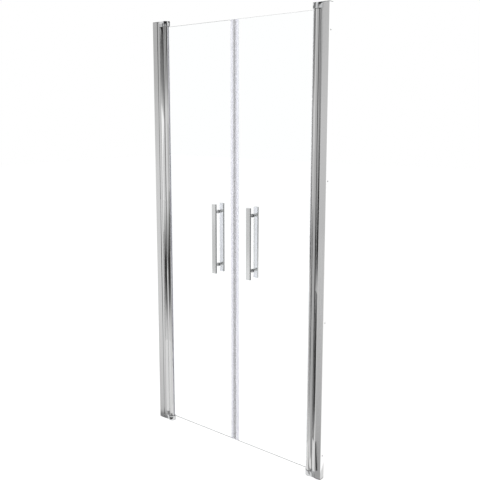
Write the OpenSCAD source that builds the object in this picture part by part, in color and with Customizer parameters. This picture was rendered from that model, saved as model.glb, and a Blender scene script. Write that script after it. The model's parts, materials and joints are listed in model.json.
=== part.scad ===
// Two-leaf swing door that closes a shower niche between two walls.
// X runs along the opening, +Y points into the shower, +Z is up.
// The origin is at floor level, midway between the walls, in the middle of the glass.

/* [Opening] */
// Clear width between the two walls
opening_w = 900; // [760:10:1000]
// Height of the side profiles
frame_h = 1850; // [1750:10:2000]
// How far the left frame profile stands out of its wall channel
left_pull = 13; // [2:0.5:14]
// How far the right frame profile stands out of its wall channel
right_pull = 2; // [2:0.5:14]

/* [Wall channel] */
// Depth of the wall channel, measured out from the wall
channel_depth = 26; // [26:0.5:32]
// Width of the wall channel across the glass
channel_w = 26; // [25:0.5:32]
// Thickness of the channel's two arms
channel_wall = 1.8; // [1.2:0.1:2]
// Thickness of the channel's back, which lies on the wall
channel_back = 2.2; // [1.5:0.1:3]
// Diameter of the wall screw holes in the channel's back
fixing_hole_d = 5.5; // [4:0.5:7]
// Distance between the outer pair of wall screw holes
fixing_outer_pitch = 1650; // [1200:10:1700]
// Distance between the inner pair of wall screw holes
fixing_inner_pitch = 550; // [300:10:700]

/* [Frame profile] */
// Depth of the frame profile's U section, which slides in the wall channel
frame_depth = 24; // [20:0.5:24.5]
// Thickness of the U section's arms
frame_wall = 1.6; // [1.2:0.1:2]
// Thickness of the U section's web, where the nose begins
web_t = 3; // [2:0.25:4]
// Distance from the web's outer face to the pivot axis
axis_reach = 30; // [28:0.5:40]
// Width of the hollow nose where it leaves the web
nose_w = 20; // [18:0.5:22]
// Width of the nose at its tips, beside the round pivot profile
nose_tip_w = 14; // [12:0.5:16]
// Wall thickness of the nose
nose_wall = 1.6; // [1.2:0.1:2.2]
// Width of the wiper strip in the nose
wiper_w = 3; // [2:0.5:5]
// How deep the wiper strip is seated in the nose
wiper_seat = 2; // [1.5:0.25:3]

/* [Plugs and caps] */
// Thickness of the foot plugs under the side profiles
foot_t = 3; // [2:0.5:6]
// Thickness of the top plugs on the side profiles
top_t = 2; // [1:0.5:5]
// Length of the tenon that holds a plug in its profile
tenon_l = 12; // [8:1:25]
// Depth of that tenon, measured out from the wall
tenon_depth = 10; // [6:0.5:11]
// Height of the pivot caps at the top and the bottom
cap_h = 22; // [20:0.5:32]
// How far a cap stands out beyond the round pivot profile
cap_overhang = 3; // [1:0.5:5]

/* [Leaf] */
// Diameter of the round pivot profile that carries the glass
pivot_d = 28; // [27:0.5:34]
// Diameter of the bore along the pivot profile
pivot_bore_d = 8.5; // [8:0.25:9.5]
// Metal left between that bore and the glass slot
slot_web = 1.25; // [1:0.25:2]
// Thickness of the glass
glass_t = 6; // [4:1:8]
// Thickness of the glazing gasket on each face of the glass
gasket_t = 2; // [1:0.25:2.5]
// Thickness of the gasket under the edge of the glass
gasket_base = 1; // [0.5:0.25:2]
// How far the gasket stands out of the pivot profile
gasket_lip = 1; // [0.5:0.25:3]
// How far the glass stops short of the pivot profile's ends
glass_inset = 2; // [0:0.5:6]

/* [Closing seal] */
// Width of a closing seal from the glass edge to its contact face
seal_nose = 8; // [7:0.5:14]
// How far the seal's clip reaches over the glass
seal_clip = 12; // [6:0.5:20]
// Wall thickness of the seal
seal_t = 1.2; // [0.8:0.1:1.5]
// Thickness of the seal's nose across the glass
seal_w = 10; // [9:0.5:14]
// Width of the magnet strip across the glass
magnet_w = 6; // [4:0.5:7]
// Thickness of the magnet strip along the opening
magnet_t = 2.5; // [2:0.25:4.5]

/* [Handle] */
// Distance from the middle of the opening's seam to a handle
handle_seam = 92; // [60:1:160]
// Height of the middle of the handles
handle_z = 920; // [800:5:1100]
// Length of a handle bar
bar_l = 300; // [280:5:450]
// Width of a handle bar
bar_w = 21; // [18:0.5:30]
// Thickness of a handle bar
bar_t = 8; // [8:0.5:14]
// Edge bevel of a handle bar
bar_bevel = 0.8; // [0.4:0.1:2]
// Gap between the glass and the back of a handle bar
bar_gap = 20; // [16:0.5:45]
// Distance between the two standoffs of a handle
standoff_pitch = 232; // [120:2:250]
// Diameter of a standoff
standoff_d = 13; // [12:0.5:17]
// Diameter of the standoff's spigot in the bar
spigot_d = 8; // [6:0.5:9]
// Length of the standoff's spigot in the bar
spigot_l = 6; // [4:0.25:6.5]
// Diameter of the threaded stud through the glass
stud_d = 6; // [5:0.5:7]
// How deep the stud goes into each standoff
stud_depth = 10; // [6:0.5:13]
// Diameter of the drilled holes in the glass
glass_hole_d = 10; // [9.5:0.5:14]
// Diameter of the washers between glass and standoffs
washer_d = 15; // [14.5:0.5:20]
// Thickness of the washers between glass and standoffs
washer_t = 1; // [0.5:0.25:2]

/* [Pivots and screws] */
// Diameter of the steel pivot pins
pin_d = 6; // [5:0.25:6.25]
// How deep a pin is pressed into its cap
pin_in_cap = 16; // [12:0.5:18]
// How far a pin reaches into the leaf
pin_in_leaf = 20; // [14:0.5:30]
// Length of the bush around a pin
bush_l = 22; // [16:0.5:30]
// Diameter of the bush's thrust flange
flange_d = 20; // [14:0.5:24]
// Thickness of the bush's thrust flange
flange_t = 0.7; // [0.5:0.1:0.7]
// Diameter of the grub screws in the pivot profiles and the bars
grub_d = 4; // [3:0.5:5]
// Length of those grub screws
grub_l = 6; // [4:0.5:6]
// Core diameter of the cross-head screws
screw_d = 3.5; // [3:0.25:4.25]
// Head diameter of the cross-head screws
head_d = 7; // [6:0.25:7.5]
// Head height of the cross-head screws
head_h = 2.4; // [1.8:0.1:3]
// Length of the screws that hold a cap, under the head
cap_screw_l = 12; // [8:0.5:14]
// Distance between the two screws of a cap
cap_screw_pitch = 10; // [8:0.5:11]
// Length of the screws that lock the frame profile, under the head
frame_screw_l = 9; // [6:0.5:11]
// Distance from the frame screws to the edge of the wall channel
frame_screw_edge = 5; // [4.5:0.25:6]
// Distance from a frame's end to its first frame screw
frame_screw_end = 200; // [120:10:250]
// Diameter of the snap covers on the frame screws
cover_d = 11; // [10:0.5:13]
// Height of the snap covers on the frame screws
cover_h = 4; // [3.75:0.25:6]

/* [Clearances] */
// Sliding gap on each side between the wall channel and the frame profile
slide_gap = 0.15; // [0.05:0.05:0.4]
// Gap between the nose and the round pivot profile
nose_gap = 1.5; // [1:0.25:3]
// Gap between the wiper strip and the round pivot profile
wiper_gap = 0.3; // [0.2:0.1:0.8]
// Gap between a cap and the end of the pivot profile
leaf_gap = 1; // [1:0.25:3]
// Running gap around a pivot pin, on the radius
pin_run_gap = 0.05; // [0.02:0.01:0.1]
// Gap around pins, bushes and studs in their seats, on the radius
seat_gap = 0.02; // [0.01:0.01:0.1]
// Gap around screws in the holes that they pass through, on the radius
pass_gap = 0.2; // [0.1:0.05:0.4]
// Gap around the plug tenons and in the snap covers
plug_gap = 0.15; // [0.05:0.05:0.4]
// Gap between the heads of the cap screws and a plug's tenon
head_room = 1; // [0.5:0.25:3]
// Gap between the contact faces of the two closing seals
seam_gap = 0.3; // [0.2:0.1:2]

/* [Hidden] */
$fn = 64;

LEFT = -1;
RIGHT = 1;

CHROME = "#c9cac8";
STEEL = "#8f9296";
GLASS = [0.86, 0.93, 0.93, 0.35];
SEAL = [0.82, 0.82, 0.88, 0.6];
DARK = "#55565a";
NYLON = "#e6e6e2";

// How far a cutting body runs past the face that it opens
cut = 1;

function pull(side) = side == LEFT ? left_pull : right_pull;
function web_x(side) = side * (opening_w / 2 - channel_depth - pull(side));
function axis_x(side) = web_x(side) - side * axis_reach;

channel_half = channel_w / 2;
arm_half = channel_half - channel_wall - slide_gap;
arm_inner = arm_half - frame_wall;
profile_h = frame_h - foot_t - top_t;
pivot_r = pivot_d / 2;
cap_r = pivot_r + cap_overhang;
slot_x = pivot_bore_d / 2 + slot_web;
slot_w = glass_t + 2 * gasket_t;

leaf_z = cap_h + leaf_gap;
leaf_h = frame_h - 2 * leaf_z;
glass_z = leaf_z + glass_inset;
glass_h = frame_h - 2 * glass_z;
leaf_reach = (axis_x(RIGHT) - axis_x(LEFT)) / 2;
contact_x = leaf_reach - seam_gap / 2;
glass_edge_x = contact_x - seal_nose;
glass_root_x = slot_x + gasket_base;

bar_back_y = glass_t / 2 + bar_gap;
handle_x = leaf_reach - handle_seam;
standoff_zs = [handle_z - standoff_pitch / 2, handle_z + standoff_pitch / 2];

fixing_zs = [
    for (pitch = [fixing_outer_pitch, fixing_inner_pitch], end = [-1, 1]) frame_h / 2 + end * pitch / 2
];
frame_screw_zs = [frame_screw_end, frame_h / 2, frame_h - frame_screw_end];
frame_screw_x = channel_depth - frame_screw_edge;
cap_screw_ys = [-cap_screw_pitch / 2, cap_screw_pitch / 2];

// Local frames. +X points from the wall towards the middle of the opening in all of them.
module at_wall(side) {
    translate([side * opening_w / 2, 0, 0])
        mirror([side == RIGHT ? 1 : 0, 0, 0])
            children();
}

module at_web(side) {
    translate([web_x(side), 0, 0])
        mirror([side == RIGHT ? 1 : 0, 0, 0])
            children();
}

module at_axis(side) {
    translate([axis_x(side), 0, 0])
        mirror([side == RIGHT ? 1 : 0, 0, 0])
            children();
}

module at_both_ends() {
    children();
    translate([0, 0, frame_h])
        mirror([0, 0, 1])
            children();
}

module at_top() {
    translate([0, 0, frame_h])
        mirror([0, 0, 1])
            children();
}

module at_both_faces() {
    children();
    mirror([0, 1, 0])
        children();
}

// A round rod or hole that runs along +X or +Y from the local origin
module rod_x(d, l) {
    rotate([0, 90, 0])
        cylinder(d = d, h = l);
}

module rod_y(d, l) {
    rotate([-90, 0, 0])
        cylinder(d = d, h = l);
}

// A rectangle in plan from x0 to x1, centred on the glass
module strip(x0, x1, w) {
    translate([x0, -w / 2])
        square([x1 - x0, w]);
}

// The same with another width at each end
module wedge(x0, w0, x1, w1) {
    polygon([[x0, -w0 / 2], [x1, -w1 / 2], [x1, w1 / 2], [x0, w0 / 2]]);
}

// Parts that are fixed to the walls

module wall_channel() {
    color(CHROME)
    difference() {
        translate([0, 0, foot_t])
            linear_extrude(profile_h)
                difference() {
                    strip(0, channel_depth, channel_w);
                    strip(channel_back, channel_depth + cut, channel_w - 2 * channel_wall);
                }
        for (z = fixing_zs)
            translate([-cut, 0, z])
                rod_x(fixing_hole_d, channel_back + 2 * cut);
        for (z = frame_screw_zs)
            translate([frame_screw_x, arm_half, z])
                rod_y(screw_d + 2 * pass_gap, channel_wall + 2 * cut);
    }
}

module frame_profile(side) {
    color(CHROME)
    difference() {
        union() {
            translate([0, 0, foot_t])
                linear_extrude(profile_h)
                    difference() {
                        strip(-frame_depth, 0, 2 * arm_half);
                        strip(-frame_depth - cut, -web_t, 2 * arm_inner);
                    }
            translate([0, 0, cap_h])
                linear_extrude(frame_h - 2 * cap_h)
                    nose_section();
        }
        for (z = frame_screw_zs)
            translate([-pull(side) - frame_screw_edge, arm_inner - cut, z])
                rod_y(screw_d + 2 * seat_gap, frame_wall + 2 * cut);
        at_both_ends()
            for (y = cap_screw_ys)
                translate([-web_t - cut, y, cap_h / 2])
                    rod_x(screw_d + 2 * pass_gap, web_t + 2 * cut);
    }
}

// Hollow nose that narrows towards its concave front, drawn from the web's outer face
module nose_section() {
    nose_r = pivot_r + nose_gap;
    front_x = axis_reach - nose_r;
    tip_x = axis_reach - sqrt(nose_r * nose_r - nose_tip_w * nose_tip_w / 4);
    hollow_end = front_x - wiper_seat - nose_wall;
    narrowing = (nose_w - nose_tip_w) / tip_x;
    hollow_w = nose_w - 2 * nose_wall;
    difference() {
        wedge(0, nose_w, tip_x, nose_tip_w);
        translate([axis_reach, 0])
            circle(nose_r);
        strip(front_x - wiper_seat, axis_reach, wiper_w);
        wedge(nose_wall, hollow_w - narrowing * nose_wall, hollow_end, hollow_w - narrowing * hollow_end);
    }
}

module wiper() {
    front_x = axis_reach - pivot_r - nose_gap;
    color(DARK)
    translate([0, 0, cap_h])
        linear_extrude(frame_h - 2 * cap_h)
            strip(front_x - wiper_seat, axis_reach - pivot_r - wiper_gap, wiper_w);
}

// Pivot cap at the foot of a frame. It stands against the web and reaches over the pivot axis.
module pivot_cap() {
    color(CHROME)
    difference() {
        union() {
            linear_extrude(cap_h)
                strip(0, axis_reach, channel_w);
            translate([axis_reach, 0, 0])
                cylinder(r = cap_r, h = cap_h);
        }
        translate([axis_reach, 0, cap_h - pin_in_cap])
            cylinder(d = pin_d + 2 * seat_gap, h = pin_in_cap + cut);
        for (y = cap_screw_ys)
            translate([-cut, y, cap_h / 2])
                rod_x(screw_d + 2 * seat_gap, cap_screw_l - web_t + 2 * cut);
    }
}

// Plug that closes the end of a channel and its frame profile
module end_plug(side, plate_t) {
    tenon_x = -web_t - head_h - head_room;
    color(DARK) {
        linear_extrude(plate_t)
            strip(-channel_depth - pull(side), 0, channel_w);
        translate([0, 0, plate_t])
            linear_extrude(tenon_l)
                strip(tenon_x - tenon_depth, tenon_x, 2 * (arm_inner - plug_gap));
    }
}

module pivot_pins() {
    color(STEEL)
    for (side = [LEFT, RIGHT])
        at_axis(side)
            at_both_ends()
                translate([0, 0, cap_h - pin_in_cap])
                    cylinder(d = pin_d, h = pin_in_cap + leaf_gap + pin_in_leaf);
}

// Cross-head screw with its head on the local origin's plane, pointing along +Z
module pan_screw(l) {
    cylinder(d = screw_d, h = l);
    translate([0, 0, -head_h])
        cylinder(d = head_d, h = head_h);
}

module cap_screws() {
    color(STEEL)
    for (side = [LEFT, RIGHT], y = cap_screw_ys)
        at_web(side)
            at_both_ends()
                translate([-web_t, y, cap_h / 2])
                    rotate([0, 90, 0])
                        pan_screw(cap_screw_l);
}

module frame_screws() {
    color(STEEL)
    for (side = [LEFT, RIGHT], z = frame_screw_zs)
        at_wall(side)
            translate([frame_screw_x, channel_half, z])
                rotate([90, 0, 0])
                    pan_screw(frame_screw_l);
}

module screw_covers() {
    color(CHROME)
    for (side = [LEFT, RIGHT], z = frame_screw_zs)
        at_wall(side)
            translate([frame_screw_x, channel_half, z])
                difference() {
                    rod_y(cover_d, cover_h);
                    translate([0, -cut, 0])
                        rod_y(head_d + 2 * plug_gap, head_h + plug_gap + cut);
                }
}

// Parts of a leaf

module pivot_profile() {
    color(CHROME)
    difference() {
        translate([0, 0, leaf_z])
            linear_extrude(leaf_h)
                difference() {
                    circle(pivot_r);
                    circle(d = pivot_bore_d);
                    strip(slot_x, pivot_r + cut, slot_w);
                }
        at_both_ends()
            translate([0, 0, leaf_z + bush_l / 2])
                rod_y(grub_d + 2 * seat_gap, pivot_r + cut);
    }
}

module glass_leaf() {
    color(GLASS)
    difference() {
        translate([0, 0, glass_z])
            linear_extrude(glass_h)
                strip(glass_root_x, glass_edge_x, glass_t);
        for (z = standoff_zs)
            translate([handle_x, -glass_t / 2 - cut, z])
                rod_y(glass_hole_d, glass_t + 2 * cut);
    }
}

module glazing_gasket() {
    color(SEAL)
    translate([0, 0, leaf_z])
        linear_extrude(leaf_h)
            difference() {
                strip(slot_x, pivot_r + gasket_lip, slot_w);
                strip(glass_root_x, pivot_r + gasket_lip + cut, glass_t);
            }
}

module bushes() {
    color(NYLON)
    at_both_ends()
        difference() {
            union() {
                translate([0, 0, leaf_z])
                    cylinder(d = pivot_bore_d - 2 * seat_gap, h = bush_l);
                translate([0, 0, leaf_z - flange_t])
                    cylinder(d = flange_d, h = flange_t);
            }
            translate([0, 0, leaf_z - flange_t - cut])
                cylinder(d = pin_d + 2 * pin_run_gap, h = bush_l + flange_t + 2 * cut);
        }
}

module bush_grubs() {
    color(STEEL)
    at_both_ends()
        translate([0, pivot_bore_d / 2, leaf_z + bush_l / 2])
            rod_y(grub_d, grub_l);
}

module closing_seal() {
    glass_face = glass_t + 2 * seal_t;
    color(SEAL)
    translate([0, 0, glass_z])
        linear_extrude(glass_h)
            difference() {
                union() {
                    strip(glass_edge_x, contact_x, seal_w);
                    strip(glass_edge_x - seal_clip, glass_edge_x, glass_face);
                }
                strip(glass_edge_x - seal_clip - cut, glass_edge_x, glass_t);
                strip(glass_edge_x + seal_t, contact_x - magnet_t - seal_t, seal_w - 2 * seal_t);
                strip(contact_x - magnet_t, contact_x + cut, magnet_w);
            }
}

module magnet_strip() {
    color(DARK)
    translate([0, 0, glass_z])
        linear_extrude(glass_h)
            strip(contact_x - magnet_t, contact_x, magnet_w);
}

// Handle bar on the inner face of the glass. The outer bar is its mirror image.
module handle_bar() {
    half = bar_w / 2;
    color(CHROME)
    translate([handle_x, bar_back_y, 0])
        difference() {
            translate([0, 0, handle_z - bar_l / 2])
                linear_extrude(bar_l)
                    polygon([
                        [-half + bar_bevel, 0], [half - bar_bevel, 0], [half, bar_bevel],
                        [half, bar_t - bar_bevel], [half - bar_bevel, bar_t],
                        [-half + bar_bevel, bar_t], [-half, bar_t - bar_bevel], [-half, bar_bevel]
                    ]);
            for (z = standoff_zs) {
                translate([0, -cut, z])
                    rod_y(spigot_d + 2 * seat_gap, spigot_l + seat_gap + cut);
                translate([-half - cut, bar_t / 2, z])
                    rod_x(grub_d + 2 * seat_gap, half + cut);
            }
        }
}

module outer_bar() {
    mirror([0, 1, 0])
        handle_bar();
}

module standoffs() {
    seat_y = glass_t / 2 + washer_t;
    color(CHROME)
    at_both_faces()
        for (z = standoff_zs)
            translate([handle_x, seat_y, z])
                difference() {
                    union() {
                        rod_y(standoff_d, bar_back_y - seat_y);
                        translate([0, bar_back_y - seat_y, 0])
                            rod_y(spigot_d, spigot_l);
                    }
                    translate([0, -cut, 0])
                        rod_y(stud_d + 2 * seat_gap, stud_depth + seat_gap + cut);
                }
}

module handle_studs() {
    reach = glass_t / 2 + washer_t + stud_depth;
    color(STEEL)
    for (z = standoff_zs)
        translate([handle_x, -reach, z])
            rod_y(stud_d, 2 * reach);
}

module hole_sleeves() {
    color(NYLON)
    for (z = standoff_zs)
        translate([handle_x, -glass_t / 2, z])
            difference() {
                rod_y(glass_hole_d - 2 * seat_gap, glass_t);
                translate([0, -cut, 0])
                    rod_y(stud_d + 2 * pass_gap, glass_t + 2 * cut);
            }
}

module washers() {
    color(DARK)
    at_both_faces()
        for (z = standoff_zs)
            translate([handle_x, glass_t / 2, z])
                difference() {
                    rod_y(washer_d, washer_t);
                    translate([0, -cut, 0])
                        rod_y(stud_d + 2 * pass_gap, washer_t + 2 * cut);
                }
}

module bar_grubs() {
    color(STEEL)
    at_both_faces()
        for (z = standoff_zs)
            translate([handle_x - spigot_d / 2 - grub_l, bar_back_y + bar_t / 2, z])
                rod_x(grub_d, grub_l);
}

at_wall(LEFT) wall_channel();  // left_wall_channel
at_wall(RIGHT) wall_channel();  // right_wall_channel
at_web(LEFT) frame_profile(LEFT);  // left_frame_profile
at_web(RIGHT) frame_profile(RIGHT);  // right_frame_profile
at_web(LEFT) at_top() pivot_cap();  // left_top_cap
at_web(LEFT) pivot_cap();  // left_bottom_cap
at_web(RIGHT) at_top() pivot_cap();  // right_top_cap
at_web(RIGHT) pivot_cap();  // right_bottom_cap
at_web(LEFT) at_top() end_plug(LEFT, top_t);  // left_top_plug
at_web(RIGHT) at_top() end_plug(RIGHT, top_t);  // right_top_plug
at_web(LEFT) end_plug(LEFT, foot_t);  // left_foot_plug
at_web(RIGHT) end_plug(RIGHT, foot_t);  // right_foot_plug
at_web(LEFT) wiper();  // left_wiper
at_web(RIGHT) wiper();  // right_wiper
pivot_pins();
cap_screws();
frame_screws();
screw_covers();
at_axis(LEFT) pivot_profile();  // left_pivot_profile
at_axis(LEFT) glass_leaf();  // left_glass
at_axis(LEFT) glazing_gasket();  // left_glazing_gasket
at_axis(LEFT) bushes();  // left_bushes
at_axis(LEFT) bush_grubs();  // left_bush_grubs
at_axis(LEFT) closing_seal();  // left_seal
at_axis(LEFT) magnet_strip();  // left_magnet
at_axis(LEFT) outer_bar();  // left_outer_bar
at_axis(LEFT) handle_bar();  // left_inner_bar
at_axis(LEFT) standoffs();  // left_standoffs
at_axis(LEFT) handle_studs();  // left_handle_studs
at_axis(LEFT) hole_sleeves();  // left_hole_sleeves
at_axis(LEFT) washers();  // left_washers
at_axis(LEFT) bar_grubs();  // left_bar_grubs
at_axis(RIGHT) pivot_profile();  // right_pivot_profile
at_axis(RIGHT) glass_leaf();  // right_glass
at_axis(RIGHT) glazing_gasket();  // right_glazing_gasket
at_axis(RIGHT) bushes();  // right_bushes
at_axis(RIGHT) bush_grubs();  // right_bush_grubs
at_axis(RIGHT) closing_seal();  // right_seal
at_axis(RIGHT) magnet_strip();  // right_magnet
at_axis(RIGHT) outer_bar();  // right_outer_bar
at_axis(RIGHT) handle_bar();  // right_inner_bar
at_axis(RIGHT) standoffs();  // right_standoffs
at_axis(RIGHT) handle_studs();  // right_handle_studs
at_axis(RIGHT) hole_sleeves();  // right_hole_sleeves
at_axis(RIGHT) washers();  // right_washers
at_axis(RIGHT) bar_grubs();  // right_bar_grubs
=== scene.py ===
# %% [markdown]
# # A two-leaf swing door for a shower niche
#
# Two panes of toughened glass close a niche like saloon doors. Each pane hangs in a round aluminium profile
# that turns between two caps, and the caps are screwed to a frame profile that slides in a channel on the
# wall. The shapes come from a CAD model. This script loads that model as a fixed frame and gives it its
# looks: detailed pieces stand in for the plain solids, and every surface gets the material that the real
# one is made of. All lengths are in metres, X runs along the niche, Y into the shower and Z up.

import json
from math import cos, pi, radians

import bmesh
import bpy
from mathutils import Matrix, Vector

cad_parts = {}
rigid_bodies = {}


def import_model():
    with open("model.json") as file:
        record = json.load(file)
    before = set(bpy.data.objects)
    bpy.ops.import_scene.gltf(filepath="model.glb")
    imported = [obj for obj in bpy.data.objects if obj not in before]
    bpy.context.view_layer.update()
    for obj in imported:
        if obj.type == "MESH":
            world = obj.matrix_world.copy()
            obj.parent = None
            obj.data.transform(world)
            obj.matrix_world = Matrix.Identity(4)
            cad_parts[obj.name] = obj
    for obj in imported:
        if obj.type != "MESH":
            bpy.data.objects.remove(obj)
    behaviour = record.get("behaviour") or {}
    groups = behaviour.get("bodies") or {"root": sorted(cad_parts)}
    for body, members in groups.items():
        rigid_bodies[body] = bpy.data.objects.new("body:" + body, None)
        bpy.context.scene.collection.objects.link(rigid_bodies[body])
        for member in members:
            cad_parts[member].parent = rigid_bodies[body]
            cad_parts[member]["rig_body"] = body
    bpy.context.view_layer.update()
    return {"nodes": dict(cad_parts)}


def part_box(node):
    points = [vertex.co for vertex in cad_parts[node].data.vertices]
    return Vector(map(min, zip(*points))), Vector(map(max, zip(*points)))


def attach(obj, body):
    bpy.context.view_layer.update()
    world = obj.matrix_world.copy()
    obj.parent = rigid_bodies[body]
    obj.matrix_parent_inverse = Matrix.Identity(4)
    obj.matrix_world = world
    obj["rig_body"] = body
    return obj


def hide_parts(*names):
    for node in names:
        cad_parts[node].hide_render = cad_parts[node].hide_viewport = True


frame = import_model()
MM = 0.001

# %% [markdown]
# ## The camera
#
# The photograph looks at the door from the front right, a little above its middle. Lens, height and turn
# were worked out from the picture, until the edges of the profiles and the glass and the handles came as
# near to their own pixels as one perspective allows. The picture is square, so the 36 mm sensor is 480
# pixels wide and the lens is 642 pixels. The lens is shifted down a little, as a product photographer does,
# so the uprights stay nearly upright.

# %% Set the camera
LENS_PIXELS = 641.9
PICTURE_PIXELS = 480
SENSOR_MM = 36
SHIFT = -0.06               # in widths of the sensor
CAMERA_PLACE = (1.6733, -2.0775, 1.4448)
PITCH = radians(8.52)
TURN = radians(38.31)

camera = bpy.data.objects.new("camera", bpy.data.cameras.new("camera"))
camera.data.sensor_width = SENSOR_MM
camera.data.lens = LENS_PIXELS * SENSOR_MM / PICTURE_PIXELS
camera.data.shift_y = SHIFT
camera.location = CAMERA_PLACE
camera.rotation_euler = (pi / 2 - PITCH, 0, TURN)
bpy.context.scene.collection.objects.link(camera)
bpy.context.scene.camera = camera
bpy.context.scene.view_settings.view_transform = "Standard"
print("lens", round(camera.data.lens, 1), "mm")

# %% [markdown]
# ## Nodes and colours
#
# Materials are node graphs. One small function adds a node, sets its options, and fills or links its
# inputs, so that a graph reads from top to bottom. Colours are written as the hex values that a picture
# shows. Shaders work with linear light, so another function turns one into the other.

# %% Helpers for nodes and colours
def to_linear(hex_colour):
    """The linear RGBA of an sRGB hex colour."""
    channels = [int(hex_colour[i:i + 2], 16) / 255 for i in (1, 3, 5)]
    return tuple(c / 12.92 if c <= 0.04045 else ((c + 0.055) / 1.055) ** 2.4 for c in channels) + (1.0,)


def add_node(tree, kind, inputs=None, **settings):
    """A new node with its settings. An input takes a value, a socket, or a node for its first output."""
    node = tree.nodes.new("ShaderNode" + kind)
    for name, value in settings.items():
        setattr(node, name, value)
    for name, value in (inputs or {}).items():
        if isinstance(value, bpy.types.Node):
            value = value.outputs[0]
        if isinstance(value, bpy.types.NodeSocket):
            tree.links.new(value, node.inputs[name])
        else:
            node.inputs[name].default_value = value
    return node


def start_material(name):
    """A new material, its empty node tree and its output node."""
    material = bpy.data.materials.new(name)
    material.use_nodes = True
    material.node_tree.nodes.clear()
    return material, material.node_tree, add_node(material.node_tree, "OutputMaterial")


print("mid grey #808080 is", round(to_linear("#808080")[0], 3), "in linear light")

# %% [markdown]
# ## Floor and background
#
# The product was cut out on white. Here it stands on a pale matt floor under a white surround. What the
# camera, the metal and the glass see of the surround is exactly white, strength 1. What lights matt
# surfaces is a little less, so that the lamps can add some direction. The floor is treated the same way:
# most of what the camera sees is plain white, and a thin diffuse share on top keeps the door's soft shadow.

# %% White surround
SURROUND_LIGHT = 0.65   # what matt surfaces get from the surround, so that lamps and surround make about 1

world = bpy.data.worlds.new("white_surround")
world.use_nodes = True
tree = world.node_tree
tree.nodes.clear()
ray = add_node(tree, "LightPath").outputs
seen = add_node(tree, "Math", {0: ray["Is Camera Ray"], 1: ray["Is Glossy Ray"]}, operation="ADD")
seen = add_node(tree, "Math", {0: seen, 1: ray["Is Transmission Ray"]}, operation="ADD", use_clamp=True)
lamp_part = add_node(tree, "Background", {"Color": to_linear("#FFFFFF"), "Strength": SURROUND_LIGHT})
seen_part = add_node(tree, "Background", {"Color": to_linear("#FFFFFF"), "Strength": 1.0})
mixed = add_node(tree, "MixShader", {0: seen, 1: lamp_part, 2: seen_part})
add_node(tree, "OutputWorld", {"Surface": mixed})
bpy.context.scene.world = world
print("surround ready")

# %% Pale floor
FLOOR_SIZE = 30.0
FLOOR_GLOW = 0.84       # the plain white share that the camera sees
floor_material, tree, output = start_material("matt_white_floor")
ray = add_node(tree, "LightPath").outputs
seen = add_node(tree, "Math", {0: ray["Is Camera Ray"], 1: ray["Is Glossy Ray"]}, operation="ADD")
seen = add_node(tree, "Math", {0: seen, 1: ray["Is Transmission Ray"]}, operation="ADD", use_clamp=True)
paint = add_node(tree, "BsdfDiffuse", {"Color": to_linear("#E6E6E6")})
thin_paint = add_node(tree, "BsdfDiffuse", {"Color": to_linear("#8C8C8C")})
glow = add_node(tree, "Emission", {"Color": to_linear("#FFFFFF"), "Strength": FLOOR_GLOW})
shown = add_node(tree, "AddShader", {0: thin_paint, 1: glow})
mixed = add_node(tree, "MixShader", {0: seen, 1: paint, 2: shown})
tree.links.new(mixed.outputs[0], output.inputs["Surface"])

shape = bmesh.new()
bmesh.ops.create_grid(shape, x_segments=1, y_segments=1, size=FLOOR_SIZE / 2)
floor_mesh = bpy.data.meshes.new("floor")
shape.to_mesh(floor_mesh)
shape.free()
floor = bpy.data.objects.new("floor", floor_mesh)
floor.data.materials.append(floor_material)
bpy.context.scene.collection.objects.link(floor)
print("floor", FLOOR_SIZE, "m wide")

# %% [markdown]
# ## Lamps
#
# Matt surfaces, here the plastics and the rubber, need a little direction to read as round or flat. Three
# large softboxes give it: a strong one high at the front right, and two weaker ones at the front left and
# behind.

# %% Softboxes
def softbox(name, place, aim, size, watts):
    """A square area lamp at place that points at aim."""
    lamp = bpy.data.lights.new(name, "AREA")
    lamp.shape = "SQUARE"
    lamp.size = size
    lamp.energy = watts
    lamp_object = bpy.data.objects.new(name, lamp)
    lamp_object.location = place
    lamp_object.rotation_euler = (Vector(aim) - Vector(place)).to_track_quat("-Z", "Y").to_euler()
    lamp_object.visible_glossy = False
    lamp_object.visible_transmission = False
    bpy.context.scene.collection.objects.link(lamp_object)


DOOR_MIDDLE = (0, 0, 0.9)
softbox("softbox_right", (2.6, -3.0, 3.6), DOOR_MIDDLE, 2.0, 90)
softbox("softbox_left", (-2.8, -2.4, 2.4), DOOR_MIDDLE, 1.6, 35)
softbox("softbox_back", (0.4, 3.2, 3.0), DOOR_MIDDLE, 1.6, 35)
print("3 softboxes")

# %% [markdown]
# ## What the metal reflects
#
# Polished metal has hardly a colour of its own: it shows the room. The long dark and bright stripes on the
# real profiles are reflections of black, grey and white boards, as every photographer of chrome puts them
# beside the set. A material that paints such stripes would look wrong from any other side, so the boards
# are built instead: plain panels that only reflections can see. They light nothing and hide nothing. Each
# stands where the mirrored rays of one stripe go, and its tone changes along its height or depth as the
# stripe does.

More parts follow.
